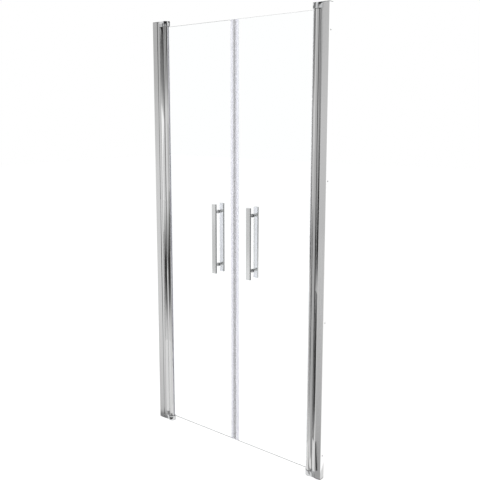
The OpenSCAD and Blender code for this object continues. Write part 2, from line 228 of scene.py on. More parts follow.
# %% Cards beside the set
def card(name, corners, tones, axis="Z", strength=1.0, past_glass=False):
    """A flat card between its corners, with a hex tone at each given place along an axis.

    Only reflections see it. Glass is perfectly smooth, so its own faint reflections are singular rays, and a
    card lets those through: the photographer's polariser. A card past the glass is also met by a ray that
    metal has reflected and that then crossed the pane, but not by the camera's view through the pane.
    """
    shape = bmesh.new()
    bmesh.ops.contextual_create(shape, geom=[shape.verts.new(corner) for corner in corners])
    mesh = bpy.data.meshes.new(name)
    shape.to_mesh(mesh)
    shape.free()
    material, tree, output = start_material(name + "_card")
    place = add_node(tree, "TexCoord")
    parts = add_node(tree, "SeparateXYZ", {0: place.outputs["Object"]})
    low, high = min(tones), max(tones)
    share = add_node(tree, "MapRange", {"Value": parts.outputs[axis], "From Min": low, "From Max": high})
    tone = add_node(tree, "ValToRGB", {"Fac": share})
    stops = tone.color_ramp.elements
    stops.remove(stops[1])
    for count, (where, colour) in enumerate(sorted(tones.items())):
        stop = stops[0] if count == 0 else stops.new((where - low) / (high - low))
        stop.position = (where - low) / (high - low)
        stop.color = to_linear(colour)
    glow = add_node(tree, "Emission", {"Color": tone.outputs["Color"], "Strength": strength})
    clear = add_node(tree, "BsdfTransparent")
    ray = add_node(tree, "LightPath")
    if past_glass:
        crossed = add_node(tree, "Math", {0: ray.outputs["Transmission Depth"], 1: 1.0}, operation="ADD")
        crossed = add_node(tree, "Math", {0: crossed, 1: ray.outputs["Is Singular Ray"]},
                           operation="SUBTRACT", use_clamp=True)
        mirrored = add_node(tree, "Math", {0: crossed, 1: ray.outputs["Glossy Depth"]},
                            operation="MULTIPLY", use_clamp=True)
        shown = add_node(tree, "MixShader", {0: mirrored, 1: clear, 2: glow})
    else:
        shown = add_node(tree, "MixShader", {0: ray.outputs["Is Singular Ray"], 1: glow, 2: clear})
    tree.links.new(shown.outputs[0], output.inputs["Surface"])
    mesh.materials.append(material)
    panel = bpy.data.objects.new(name, mesh)
    bpy.context.scene.collection.objects.link(panel)
    for way in ("visible_camera", "visible_diffuse", "visible_shadow", "visible_volume_scatter"):
        setattr(panel, way, False)
    panel.visible_transmission = past_glass
    return panel


def upright(near, far, low, high):
    """The corners of an upright card between two plan points."""
    return [(*near, low), (*far, low), (*far, high), (*near, high)]


def level(points, height=0.002):
    """The corners of a level card over plan points."""
    return [(x, y, height) for x, y in points]


# the walls of the room
card("wall_front_left", upright((-8.0, -4.5), (-3.6, -4.5), 0, 2.8),
     {0.67: "#FFFFFF", 1.27: "#F2F2F2", 1.57: "#ECECEC", 1.93: "#DEDEDE", 2.4: "#D8D8D8"})
card("wall_front_right", upright((-3.6, -4.5), (-1.6, -4.5), 0, 2.8),
     {0.0: "#E6E6E6", 1.3: "#F0F0F0", 2.0: "#ECECEC", 2.8: "#E6E6E6"})
card("wall_left", upright((-3.4, -2.2), (-3.4, 1.2), 0, 2.4),
     {0.0: "#6C6C6C", 0.9: "#A0A0A0", 2.4: "#707070"})
card("wall_back_left", upright((-2.4, 2.6), (0.95, 2.6), 0, 2.4),
     {0.0: "#DCDCDC", 0.5: "#F0F0F0", 1.4: "#F0F0F0", 1.8: "#C8C8C8", 2.4: "#A8A8A8"})
card("wall_back", upright((0.95, 2.6), (1.86, 2.6), 0, 2.4),
     {0.0: "#707070", 0.45: "#848484", 0.7: "#D8D8D8", 1.4: "#E0E0E0", 1.65: "#707070", 2.4: "#505050"})
card("wall_back_right", upright((1.9, 2.6), (2.5, 2.6), 0, 2.4),
     {0.0: "#686868", 0.6: "#707070", 1.3: "#888888", 2.4: "#505050"}, past_glass=True)
card("canopy_back", level([(-2.4, 0.7), (2.3, 0.7), (2.3, 3.6), (-2.4, 3.6)], 2.6),
     {0.7: "#404040", 3.6: "#404040"}, axis="Y")
# Dark flags for the two round profiles and the necks beside them, high and low, with light between them.
# Three of them, flag_core_left, flag_near_leaf and flag_behind_right, reach the floor with a white lower
# part. The picture hardly shows it. It was added to see whether the outline advice would then pass.
PLANE = -0.9            # the Y of the far flags
card("flag_high_left", upright((-0.79, PLANE), (-0.2, PLANE), 1.5, 2.3),
     {1.5: "#FAFAFA", 1.58: "#D4D4D4", 1.66: "#ABABAB", 1.75: "#929292", 1.84: "#8C8C8C", 1.94: "#636363",
      2.2: "#3A3A3A"})
card("flag_high_middle", upright((-0.02, PLANE), (0.25, PLANE), 1.5, 2.3),
     {1.55: "#F0F0F0", 1.65: "#B4B4B4", 1.8: "#A8A8A8", 1.95: "#909090", 2.2: "#4A4A4A"})
card("flag_high_leaf", upright((0.05, -0.6), (0.2, -0.18), 1.4, 2.3),
     {1.45: "#F0F0F0", 1.55: "#CCCCCC", 1.63: "#A8A8A8", 1.72: "#888888", 1.81: "#585858", 2.2: "#383838"})
card("flag_cap_left", upright((-0.61, -0.328), (-0.108, -0.293), 1.88, 2.3),
     {1.88: "#303030", 2.3: "#303030"})
card("flag_low_left", upright((-0.425, -0.075), (-0.337, -0.079), 0.37, 1.05),
     {0.4: "#F8F8F8", 0.47: "#E0E0E0", 0.57: "#888888", 0.66: "#505050", 0.77: "#484848", 0.87: "#A0A0A0",
      0.96: "#DCDCDC", 1.02: "#F8F8F8"})
card("flag_neck_left", upright((-0.775, PLANE), (-0.70, PLANE), 0.05, 0.74),
     {0.05: "#D0D0D0", 0.18: "#B0B0B0", 0.31: "#8C8C8C", 0.44: "#909090", 0.56: "#A0A0A0", 0.69: "#D9D9D9"})
card("flag_low_right", upright((0.30, -0.3), (0.45, -0.3), 0, 1.3),
     {0.04: "#E8E8E8", 0.25: "#989898", 0.46: "#585858", 0.64: "#484848", 0.82: "#484848", 0.91: "#686868",
      1.0: "#A0A0A0", 1.08: "#D8D8D8", 1.3: "#F0F0F0"})
card("flag_core_left", upright((-0.311, -0.148), (-0.190, -0.112), 0, 1.12),
     {0.36: "#FFFFFF", 0.42: "#F0F0F0", 0.47: "#DADADA", 0.57: "#868686", 0.66: "#343434", 0.76: "#202020",
      0.86: "#282828", 0.95: "#585858", 1.05: "#C0C0C0", 1.12: "#F0F0F0"})
card("flag_near_leaf", upright((0.115, -0.115), (0.215, -0.145), 0, 1.9),
     {0.6: "#FFFFFF", 0.66: "#F0F0F0", 0.8: "#808080", 0.88: "#303030", 1.1: "#303030", 1.28: "#707070",
      1.45: "#A0A0A0", 1.8: "#C8C8C8"})
card("flag_neck_right", upright((0.21, -0.088), (0.255, -0.113), 0.04, 0.71),
     {0.08: "#A0A0A0", 0.2: "#505050", 0.45: "#404040", 0.6: "#606060", 0.7: "#909090"})
card("flag_near_pivot", upright((0.29, -0.115), (0.325, -0.135), 0.1, 1.3),
     {0.15: "#F0F0F0", 0.33: "#909090", 0.45: "#484848", 0.85: "#303030", 0.95: "#707070", 1.08: "#C8C8C8",
      1.25: "#F0F0F0"})
card("flag_behind_right", upright((0.118, 0.118), (0.24, 0.170), 0, 1.19),
     {0.6: "#FFFFFF", 0.7: "#F8F8F8", 0.8: "#D0D0D0", 0.89: "#989898", 0.96: "#888888", 1.1: "#A0A0A0",
      1.22: "#F0F0F0"}, past_glass=True)
card("flag_behind_left", upright((-0.12, 0.07), (-0.32, 0.18), 0.02, 1.07),
     {0.08: "#F0F0F0", 0.17: "#D3D3D3", 0.36: "#A5A5A5", 0.5: "#848484", 0.66: "#8C8C8C", 0.76: "#AAAAAA",
      0.86: "#CBCBCB", 1.04: "#F7F7F7"}, past_glass=True)
card("wall_right", upright((0.95, -1.9), (2.2, -0.25), 0, 2.4),
     {0.0: "#CCCCCC", 0.8: "#D2D2D2", 2.4: "#DCDCDC"})
card("floor_beside_right", level([(0.47, -0.1), (0.6, -0.05), (2.2, -0.25), (0.95, -1.9)]),
     {-1.9: "#CCCCCC", -0.05: "#C8C8C8"}, axis="Y")
# lamps that make the bright lines
card("lamp_line", upright((-0.765, PLANE), (-0.62, PLANE), 0.74, 1.5), {0.74: "#FFFFFF", 1.5: "#FFFFFF"},
     strength=1.5)
card("lamp_wall", upright((0.70, 0.6), (0.98, 0.6), 0, 2.2), {0.0: "#FFFFFF", 2.2: "#FFFFFF"}, strength=1.65)
card("lamp_wall_foot", level([(0.452, -0.03), (0.49, -0.03), (0.95, 0.6), (0.70, 0.6)]),
     {0.0: "#FFFFFF", 0.6: "#FFFFFF"}, axis="Y", strength=1.65)
inner_glow = card("inner_glow", upright((-1.1, -1.0), (-0.55, -1.0), 0.3, 1.0),
                  {0.3: "#F4F4FB", 1.0: "#F4F4FB"}, strength=1.38, past_glass=True)
inner_glow.visible_glossy = False
# painted shade: the floor right in front of the two flat faces, as they reflect it, gets darker towards them,
# where the door's shadow lies
card("floor_left", level([(-0.47, -0.013), (-0.40, -0.013), (-4.72, -4.5), (-5.12, -4.5)]),
     {-4.5: "#FEFEFE", -0.93: "#FBFBFB", -0.66: "#F8F8F8", -0.44: "#F1F1F1", -0.137: "#E8E8E8",
      -0.062: "#E0E0E0", -0.035: "#A4A4A4"}, axis="Y")
card("floor_right", level([(0.41, -0.013), (0.46, -0.013), (-2.16, -4.5), (-2.36, -4.5)]),
     {-4.5: "#E6E6E6", -3.03: "#E4E4E4", -1.96: "#E2E2E2", -1.26: "#DCDCDC", -0.77: "#D8D8D8",
      -0.4: "#D2D2D2", -0.25: "#CACACA", -0.06: "#C0C0C0"}, axis="Y")
card("floor_handles", level([(-1.9, -2.4), (-2.6, -2.4), (-4.3, -4.5), (-3.0, -4.5)]),
     {-4.5: "#ECECEC", -2.4: "#F2F2F2"}, axis="Y")
# painted shade: the floor just in front of the left bottom cap, as the metal reflects it, darkens towards the
# door, where its shadow lies
card("floor_cap_left", level([(-0.40, -0.02), (-0.33, -0.02), (-0.33, -0.08), (-0.43, -0.08)], 0.003),
     {-0.08: "#B0B0B0", -0.02: "#505050"}, axis="Y")
# painted shade: a dark strip on the floor, seen only in reflections, that puts the shadow line towards the
# right foot into the right flat face
card("painted_shadow_line_right", level([(0.272, -0.258), (0.402, -0.059), (0.408, -0.061), (0.279, -0.261)], 0.004),
     {-0.26: "#404040", -0.06: "#303030"}, axis="Y")
card("floor_back", level([(1.1, 1.4), (2.4, 1.4), (2.4, 2.6), (1.1, 2.6)]),
     {1.4: "#707070", 2.6: "#606060"}, axis="Y", past_glass=True)
print("cards ready")

# %% [markdown]
# ## Metals
#
# The long profiles are extruded aluminium, polished and then bright anodised. The die leaves faint lines
# along the length, and the anodising takes a little off the mirror, so the reflections are clear but a bit
# greyer than in chrome. A real die line is about 0.3 mm wide, far below a pixel here, so the lines are
# drawn 2 mm wide.

# %% Bright anodised aluminium
DIE_LINE_WIDTH = 2 * MM     # real ones are about 0.3 mm, drawn coarser so that they show
DIE_LINE_LENGTH = 400 * MM

bright_aluminium, tree, output = start_material("bright_anodised_aluminium")
place = add_node(tree, "TexCoord").outputs["Object"]
density = (1 / DIE_LINE_WIDTH, 1 / DIE_LINE_WIDTH, 1 / DIE_LINE_LENGTH)
stretched = add_node(tree, "Mapping", {"Vector": place, "Scale": density})
lines = add_node(tree, "TexNoise", {"Vector": stretched, "Scale": 1.0, "Detail": 2.0})
gloss = add_node(tree, "MapRange", {"Value": lines, "To Min": 0.04, "To Max": 0.12})
relief = add_node(tree, "Bump", {"Height": lines, "Strength": 0.015, "Distance": 0.1 * MM})
metal = add_node(tree, "BsdfPrincipled", {"Base Color": to_linear("#CCCCCC"), "Metallic": 1.0,
                                          "Roughness": gloss, "Normal": relief})
tree.links.new(metal.outputs[0], output.inputs["Surface"])
print(bright_aluminium.name)

# %% [markdown]
# The caps and the standoffs are zinc castings with a chrome plate. Chrome is bluer and clearer than
# aluminium. The plate follows the casting, so its surface is very slightly wavy, a few millimetres from
# crest to crest.

# %% Chrome plate
CASTING_WAVE = 6 * MM

chrome_plate, tree, output = start_material("chrome_plated_zinc")
place = add_node(tree, "TexCoord").outputs["Object"]
waves = add_node(tree, "TexNoise", {"Vector": place, "Scale": 1 / CASTING_WAVE, "Detail": 1.0})
gloss = add_node(tree, "MapRange", {"Value": waves, "To Min": 0.02, "To Max": 0.09})
relief = add_node(tree, "Bump", {"Height": waves, "Strength": 0.05, "Distance": 0.2 * MM})
metal = add_node(tree, "BsdfPrincipled", {"Base Color": to_linear("#CCCDCE"), "Metallic": 1.0,
                                          "Roughness": gloss, "Normal": relief})
tree.links.new(metal.outputs[0], output.inputs["Surface"])
print(chrome_plate.name)

# %% [markdown]
# The handle bars are drawn brass, polished along their length and chrome plated. Polishing leaves a faint
# grain in the polishing direction, here along Z.

# %% Chromed bar
POLISH_WIDTH = 1.5 * MM     # real grain is about 0.1 mm, drawn coarser so that it shows
POLISH_LENGTH = 60 * MM

chromed_bar, tree, output = start_material("chrome_plated_brass_bar")
place = add_node(tree, "TexCoord").outputs["Object"]
density = (1 / POLISH_WIDTH, 1 / POLISH_WIDTH, 1 / POLISH_LENGTH)
stretched = add_node(tree, "Mapping", {"Vector": place, "Scale": density})
grain = add_node(tree, "TexNoise", {"Vector": stretched, "Scale": 1.0, "Detail": 2.0})
gloss = add_node(tree, "MapRange", {"Value": grain, "To Min": 0.06, "To Max": 0.16})
metal = add_node(tree, "BsdfPrincipled", {"Base Color": to_linear("#CFD0D0"), "Metallic": 1.0,
                                          "Roughness": gloss})
tree.links.new(metal.outputs[0], output.inputs["Surface"])
print(chromed_bar.name)

# %% [markdown]
# Pins, screws and studs are stainless steel, turned or rolled and left as they come: greyer, with a satin
# surface.

# %% Stainless steel
TOOL_MARK = 0.8 * MM        # real tool marks are about 0.1 mm, drawn coarser so that they show

stainless_steel, tree, output = start_material("turned_stainless_steel")
place = add_node(tree, "TexCoord").outputs["Object"]
marks = add_node(tree, "TexNoise", {"Vector": place, "Scale": 1 / TOOL_MARK, "Detail": 3.0})
gloss = add_node(tree, "MapRange", {"Value": marks, "To Min": 0.2, "To Max": 0.38})
relief = add_node(tree, "Bump", {"Height": marks, "Strength": 0.15, "Distance": 0.05 * MM})
metal = add_node(tree, "BsdfPrincipled", {"Base Color": to_linear("#B9B6B0"), "Metallic": 1.0,
                                          "Roughness": gloss, "Normal": relief})
tree.links.new(metal.outputs[0], output.inputs["Surface"])
print(stainless_steel.name)

# %% [markdown]
# ## Glass
#
# Toughened float glass, 6 mm thick. Its faces are flat and almost invisible on white: only a trace of
# green, and the slight roller wave that the toughening furnace leaves, about 280 mm from crest to crest.
# Its edges are ground, so they scatter light and show as the thin grey lines that draw the pane in the
# photograph. Faces and edges are two materials on one piece.

# %% Toughened glass and its ground edge
ROLLER_WAVE = 280 * MM      # from crest to crest in Z, and five times as long across

toughened_glass, tree, output = start_material("toughened_float_glass")
place = add_node(tree, "TexCoord").outputs["Object"]
stretched = add_node(tree, "Mapping", {"Vector": place, "Scale": (0.2, 0.2, 1.0)})
wave = add_node(tree, "TexNoise", {"Vector": stretched, "Scale": 1 / ROLLER_WAVE, "Detail": 0.0})
relief = add_node(tree, "Bump", {"Height": wave, "Strength": 0.2, "Distance": 0.05 * MM})
glass = add_node(tree, "BsdfPrincipled", {"Base Color": to_linear("#FEFFFF"), "Roughness": 0.0, "IOR": 1.52,
                                          "Transmission Weight": 1.0, "Normal": relief})
tree.links.new(glass.outputs[0], output.inputs["Surface"])

GRINDING_GRIT = 0.8 * MM    # a real grit is about 0.1 mm, drawn coarser so that it shows

ground_edge, tree, output = start_material("ground_glass_edge")
place = add_node(tree, "TexCoord").outputs["Object"]
grit = add_node(tree, "TexNoise", {"Vector": place, "Scale": 1 / GRINDING_GRIT, "Detail": 2.0})
gloss = add_node(tree, "MapRange", {"Value": grit, "To Min": 0.35, "To Max": 0.6})
glass = add_node(tree, "BsdfPrincipled", {"Base Color": to_linear("#3A3C3C"), "Roughness": gloss,
                                          "IOR": 1.52})
tree.links.new(glass.outputs[0], output.inputs["Surface"])
print(toughened_glass.name, ground_edge.name)

# %% [markdown]
# ## Plastics and rubber
#
# A closing seal is extruded from two kinds of PVC at once: a hard, milky one for the clip that grips the
# glass, and a soft, clearer one for the nose, where the magnet shows through. Both have a cold violet cast,
# and the extruder leaves faint flow lines along the strip. The glazing gaskets are the milky kind.

# %% Milky and clear PVC
FLOW_LINE_WIDTH = 1.5 * MM  # real flow lines are about 0.2 mm, drawn coarser so that they show
FLOW_LINE_LENGTH = 200 * MM


def extruded_pvc(name, dark, light, alpha):
    """A see-through plastic with flow lines along the strip."""
    material, tree, output = start_material(name)
    place = add_node(tree, "TexCoord").outputs["Object"]
    density = (1 / FLOW_LINE_WIDTH, 1 / FLOW_LINE_WIDTH, 1 / FLOW_LINE_LENGTH)
    stretched = add_node(tree, "Mapping", {"Vector": place, "Scale": density})
    flow = add_node(tree, "TexNoise", {"Vector": stretched, "Scale": 1.0, "Detail": 1.0})
    milk = add_node(tree, "Mix", {0: flow, "A": to_linear(dark), "B": to_linear(light)}, data_type="RGBA")
    gloss = add_node(tree, "MapRange", {"Value": flow, "To Min": 0.18, "To Max": 0.34})
    plastic = add_node(tree, "BsdfPrincipled", {"Base Color": milk.outputs["Result"], "IOR": 1.53,
                                                "Roughness": gloss, "Alpha": alpha})
    tree.links.new(plastic.outputs[0], output.inputs["Surface"])
    return material


milky_pvc = extruded_pvc("extruded_milky_pvc", "#DCDCE6", "#E6E6EE", 0.34)
clear_pvc = extruded_pvc("extruded_clear_soft_pvc", "#F0F0F6", "#F8F8FB", 0.24)
print(milky_pvc.name, clear_pvc.name)

# %% [markdown]
# The magnets are strips of ferrite powder in rubber, dull and nearly black, with a fine grain. The wipers
# and washers are a soft grey thermoplastic rubber with a matt, slightly mottled skin.

# %% Magnet strip and soft rubber
FERRITE_GRAIN = 1.2 * MM    # real grain is a few hundredths of a millimetre, drawn coarser so that it shows

magnet_strip, tree, output = start_material("ferrite_magnet_rubber")
place = add_node(tree, "TexCoord").outputs["Object"]
grain = add_node(tree, "TexNoise", {"Vector": place, "Scale": 1 / FERRITE_GRAIN, "Detail": 3.0})
tint = add_node(tree, "Mix", {0: grain, "A": to_linear("#1B1A19"), "B": to_linear("#343130")},
                data_type="RGBA")
rubber = add_node(tree, "BsdfPrincipled", {"Base Color": tint.outputs["Result"], "Roughness": 0.75,
                                           "IOR": 1.5})
tree.links.new(rubber.outputs[0], output.inputs["Surface"])

SKIN_MOTTLE = 1.5 * MM

soft_rubber, tree, output = start_material("soft_grey_rubber")
place = add_node(tree, "TexCoord").outputs["Object"]
mottle = add_node(tree, "TexNoise", {"Vector": place, "Scale": 1 / SKIN_MOTTLE, "Detail": 2.0})
tint = add_node(tree, "Mix", {0: mottle, "A": to_linear("#55565A"), "B": to_linear("#6B6C70")},
                data_type="RGBA")
relief = add_node(tree, "Bump", {"Height": mottle, "Strength": 0.3, "Distance": 0.05 * MM})
rubber = add_node(tree, "BsdfPrincipled", {"Base Color": tint.outputs["Result"], "Roughness": 0.6, "IOR": 1.5,
                                           "Normal": relief})
tree.links.new(rubber.outputs[0], output.inputs["Surface"])
print(magnet_strip.name, soft_rubber.name)

# %% [markdown]
# Bushes and hole sleeves are natural nylon, an off-white plastic that light enters a little. The end plugs
# are moulded grey plastic with the fine spark-eroded texture of their mould.

# %% Nylon and moulded plastic
NYLON_CLOUD = 4 * MM

natural_nylon, tree, output = start_material("natural_nylon")
place = add_node(tree, "TexCoord").outputs["Object"]
cloud = add_node(tree, "TexNoise", {"Vector": place, "Scale": 1 / NYLON_CLOUD, "Detail": 2.0})
tint = add_node(tree, "Mix", {0: cloud, "A": to_linear("#DEDACB"), "B": to_linear("#ECE9DD")},
                data_type="RGBA")
plastic = add_node(tree, "BsdfPrincipled", {"Base Color": tint.outputs["Result"], "Roughness": 0.42,
                                            "IOR": 1.53})
tree.links.new(plastic.outputs[0], output.inputs["Surface"])

MOULD_TEXTURE = 0.9 * MM    # real texture is about 0.05 mm, drawn coarser so that it shows

moulded_grey, tree, output = start_material("moulded_grey_plastic")
place = add_node(tree, "TexCoord").outputs["Object"]
texture = add_node(tree, "TexNoise", {"Vector": place, "Scale": 1 / MOULD_TEXTURE, "Detail": 2.0})
tint = add_node(tree, "Mix", {0: texture, "A": to_linear("#5C5D5F"), "B": to_linear("#6E6F71")},
                data_type="RGBA")
relief = add_node(tree, "Bump", {"Height": texture, "Strength": 0.4, "Distance": 0.05 * MM})
plastic = add_node(tree, "BsdfPrincipled", {"Base Color": tint.outputs["Result"], "Roughness": 0.5,
                                            "IOR": 1.5, "Normal": relief})
tree.links.new(plastic.outputs[0], output.inputs["Surface"])
print(natural_nylon.name, moulded_grey.name)

# %% [markdown]
# ## Placing a piece
#
# A finished piece has its place in its mesh, rides on the CAD body that it belongs to, stands in for its
# CAD node and takes that node's finish. One function does all of this, so that each piece below only has to
# make its shape.

# %% Helpers for pieces
WELD = 0.002 * MM           # points nearer than this are one point
FLAT = radians(0.5)         # triangles that meet at less than this are one flat side
made = []


def finish_piece(shape, node, materials, smooth_angle=30):
    """Turns a bmesh into the piece that stands for a CAD node."""
    mesh = bpy.data.meshes.new(node + "_finished")
    shape.to_mesh(mesh)
    shape.free()
    for material in materials:
        mesh.materials.append(material)
    mesh.shade_smooth()
    mesh.set_sharp_from_angle(angle=radians(smooth_angle))
    piece = bpy.data.objects.new(mesh.name, mesh)
    bpy.context.scene.collection.objects.link(piece)
    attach(piece, frame["nodes"][node]["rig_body"])
    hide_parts(node)
    made.append(piece)
    return piece


def merged_copy(node):
    """A bmesh of a CAD node whose loose triangles are joined, and whose flat sides are one face each."""
    shape = bmesh.new()
    shape.from_mesh(frame["nodes"][node].data)
    bmesh.ops.remove_doubles(shape, verts=shape.verts, dist=WELD)
    bmesh.ops.dissolve_limit(shape, angle_limit=FLAT, verts=shape.verts, edges=shape.edges, delimit=set())
    return shape


def round_edges(piece, width, angle=28):
    """A bevel modifier on the piece's sharp edges. Light then catches them, as on anything that is made."""
    bevel = piece.modifiers.new("eased_edges", "BEVEL")
    bevel.limit_method = "ANGLE"
    bevel.angle_limit = radians(angle)
    bevel.width = width
    bevel.segments = 2
    bevel.harden_normals = True
    bevel.loop_slide = False


# %% [markdown]
# Small turned parts come several to a node. Each loose solid of the node gives the place of one of them.

# %% Where a node's loose solids are
def solids_of(node):
    """The lowest and highest corner of each loose solid of a CAD node."""
    shape = merged_copy(node)
    left, found = set(shape.verts), []
    while left:
        reached, edge_of_search = set(), [left.pop()]
        while edge_of_search:
            vert = edge_of_search.pop()
            reached.add(vert)
            edge_of_search += [edge.other_vert(vert) for edge in vert.link_edges
                               if edge.other_vert(vert) not in reached]
        left -= reached
        corners = [[pick(vert.co[axis] for vert in reached) for axis in range(3)] for pick in (min, max)]
        found.append((Vector(corners[0]), Vector(corners[1])))
    shape.free()
    return sorted(found, key=lambda pair: tuple(round(c, 5) for c in pair[0]))


middles = [(low + high) / 2 for low, high in solids_of("pivot_pins")]
print("pivot pins at", [tuple(round(c, 3) for c in middle) for middle in middles])

# %% [markdown]
# A lathe turns a half outline about an axis. In Blender that is a spin: the outline's points are (radius,
# height) pairs, the last copy merges with the first, and points on the axis are merged into one pole. The
# part is turned about Z at the origin, and then laid along its real axis.

# %% A lathe
POLE = 0.0005 * MM          # points on the axis that are nearer than this are one pole


def turned(outline, hollow=False, steps=48):
    """A closed solid of revolution about Z from (radius, height) points. A hollow one's outline is closed."""
    shape = bmesh.new()
    verts = [shape.verts.new((radius, 0, height)) for radius, height in outline]
    edges = [shape.edges.new(pair) for pair in zip(verts, verts[1:] + verts[:1] if hollow else verts[1:])]
    bmesh.ops.spin(shape, geom=verts + edges, cent=(0, 0, 0), axis=(0, 0, 1), dvec=(0, 0, 0), angle=2 * pi,
                   steps=steps, use_merge=True)
    bmesh.ops.remove_doubles(shape, verts=shape.verts, dist=POLE)
    bmesh.ops.recalc_face_normals(shape, faces=shape.faces)
    return shape


def laid_along(direction, place):
    """The transform that takes a part turned about Z to a place, along a direction."""
    turn = Vector((0, 0, 1)).rotation_difference(Vector(direction)).to_matrix().to_4x4()
    return Matrix.Translation(place) @ turn


def repeated(pattern, transforms):
    """One bmesh that holds the pattern shape once for each transform."""
    mesh = bpy.data.meshes.new("pattern")
    pattern.to_mesh(mesh)
    pattern.free()
    shape = bmesh.new()
    for transform in transforms:
        placed = mesh.copy()
        placed.transform(transform)
        shape.from_mesh(placed)
        bpy.data.meshes.remove(placed)
    bpy.data.meshes.remove(mesh)
    return shape


trial = turned([(0, 0), (1, 0), (1, 1), (0, 1)])
print("a turned disc has", len(trial.faces), "faces, closed:", all(edge.is_manifold for edge in trial.edges))
trial.free()

# %% [markdown]
# ## The long profiles
#
# Wall channels, frame profiles, round pivot profiles and handle bars are right in the CAD model, down to
# their holes. What a CAD solid lacks is the tiny radius on its edges. A merged copy of each gets one from a
# bevel modifier, and light then runs along the edges as thin bright lines.

# %% Profiles with eased edges
SIDES = ("left", "right")
EASED = 0.3 * MM            # the radius on the edges of extrusions
for side in SIDES:
    for node in (side + "_wall_channel", side + "_frame_profile", side + "_pivot_profile"):
        profile = finish_piece(merged_copy(node), node, [bright_aluminium])
        round_edges(profile, EASED)
        print(profile.name, len(profile.data.polygons), "faces before its bevel")

# %% Handle bars
for side in SIDES:
    for node in (side + "_outer_bar", side + "_inner_bar"):
        bar = finish_piece(merged_copy(node), node, [chromed_bar])
        round_edges(bar, EASED)
        print(bar.name, len(bar.data.polygons), "faces before its bevel")

# %% [markdown]
# ## The caps
#
# Each round profile turns between two cast caps. Seen from above a cap is a disc round the pivot axis with
# a block that reaches back to the frame profile. It starts as a filled circle, is cut off where the block
# is as wide as the circle, and the cut edge is pulled back to the frame. Pulling the whole face up gives
# the cap its height. One bevel rounds the two rims, and a finer one eases the corners, as on any casting.

# %% Cast caps
BLOCK_HALF_WIDTH = 13 * MM
CAP_RADIUS = 17 * MM
CAP_CUT = (CAP_RADIUS ** 2 - BLOCK_HALF_WIDTH ** 2) ** 0.5
RIM_RADIUS = 1.2 * MM
CORNER_RADIUS = 0.6 * MM
SHARP = radians(60)         # an edge that turns more than this is a corner
SAME = 0.01 * MM            # two places nearer than this are the same


def points_in(items):
    """The points among the items that a bmesh operator gives back."""
    return [item for item in items if isinstance(item, bmesh.types.BMVert)]


def cast_cap(node):
    """A cap that fills its CAD node's box."""
    low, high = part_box(node)
    wall_is_left = low.x < 0
    axis_x = high.x - CAP_RADIUS if wall_is_left else low.x + CAP_RADIUS
    reach = axis_x - low.x if wall_is_left else high.x - axis_x
    height = high.z - low.z
    shape = bmesh.new()
    bmesh.ops.create_circle(shape, cap_ends=True, segments=96, radius=CAP_RADIUS)
    everything = shape.verts[:] + shape.edges[:] + shape.faces[:]
    bmesh.ops.bisect_plane(shape, geom=everything, plane_co=(-CAP_CUT, 0, 0), plane_no=(-1, 0, 0),
                           clear_outer=True)
    cut = [edge for edge in shape.edges if all(abs(v.co.x + CAP_CUT) < SAME for v in edge.verts)]
    for vert in points_in(bmesh.ops.extrude_edge_only(shape, edges=cut)["geom"]):
        vert.co.x = -reach
    bmesh.ops.dissolve_limit(shape, angle_limit=radians(1), verts=shape.verts, edges=shape.edges,
                             delimit=set())
    lifted = points_in(bmesh.ops.extrude_face_region(shape, geom=shape.faces[:])["geom"])
    bmesh.ops.translate(shape, verts=lifted, vec=(0, 0, height))
    bmesh.ops.recalc_face_normals(shape, faces=shape.faces)
    rims = [edge for edge in shape.edges if edge.calc_face_angle(0) > SHARP
            and abs(edge.verts[0].co.z - edge.verts[1].co.z) < SAME]
    bmesh.ops.bevel(shape, geom=rims, offset=RIM_RADIUS, offset_type="OFFSET", segments=3, profile=0.5,
                    affect="EDGES", material=-1)
    if not wall_is_left:
        bmesh.ops.rotate(shape, verts=shape.verts, cent=(0, 0, 0), matrix=Matrix.Rotation(pi, 3, "Z"))
    bmesh.ops.translate(shape, verts=shape.verts, vec=(axis_x, 0, low.z))
    cap = finish_piece(shape, node, [chrome_plate])
    round_edges(cap, CORNER_RADIUS, angle=50)
    return cap


for side in SIDES:
    for end in ("top", "bottom"):
        cap = cast_cap(side + "_" + end + "_cap")
        print(cap.name, len(cap.data.polygons), "faces")

# %% [markdown]
# ## Plugs and wipers
#
# Grey plastic plugs close the ends of the two aluminium sections. A wiper of soft rubber sits in the nose
# of each frame profile and touches the round profile, so that no spray passes the pivot. Its base is square
# for the groove and its lip is a bulb.

# %% Plugs
for side in SIDES:
    for end in ("top", "foot"):
        node = side + "_" + end + "_plug"
        plug = finish_piece(merged_copy(node), node, [moulded_grey])
        round_edges(plug, 0.4 * MM)
        print(plug.name)

# %% Wipers
# The section as shares of the depth, from the groove to the bulb, and of half the width
WIPER_SECTION = [(0, -1), (0.45, -1), (0.55, -0.45), (0.8, -0.6), (1, -0.25), (1, 0.25), (0.8, 0.6),
                 (0.55, 0.45), (0.45, 1), (0, 1)]
for side in SIDES:
    node = side + "_wiper"
    low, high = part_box(node)
    towards_pivot = 1 if low.x < 0 else -1
    back = low.x if towards_pivot > 0 else high.x
    depth, half = high.x - low.x, (high.y - low.y) / 2
    shape = bmesh.new()
    corners = [shape.verts.new((back + towards_pivot * x * depth, y * half, low.z)) for x, y in WIPER_SECTION]
    face = shape.faces.new(corners)
    pulled = points_in(bmesh.ops.extrude_face_region(shape, geom=[face])["geom"])
    bmesh.ops.translate(shape, verts=pulled, vec=(0, 0, high.z - low.z))
    bmesh.ops.recalc_face_normals(shape, faces=shape.faces)
    wiper = finish_piece(shape, node, [soft_rubber], smooth_angle=50)
    print(wiper.name, "bulb towards", "right" if towards_pivot > 0 else "left")

# %% [markdown]
# ## The glass leaves
#
# A pane is the CAD solid with its sharp corners ground off: an arris all round and in the holes. Every face
# that isn't one of the two flat sides then gets the ground edge's material. Only the edge inside the
# closing seal is a polished one, because the photograph shows no second dark line through the clear
# plastic.

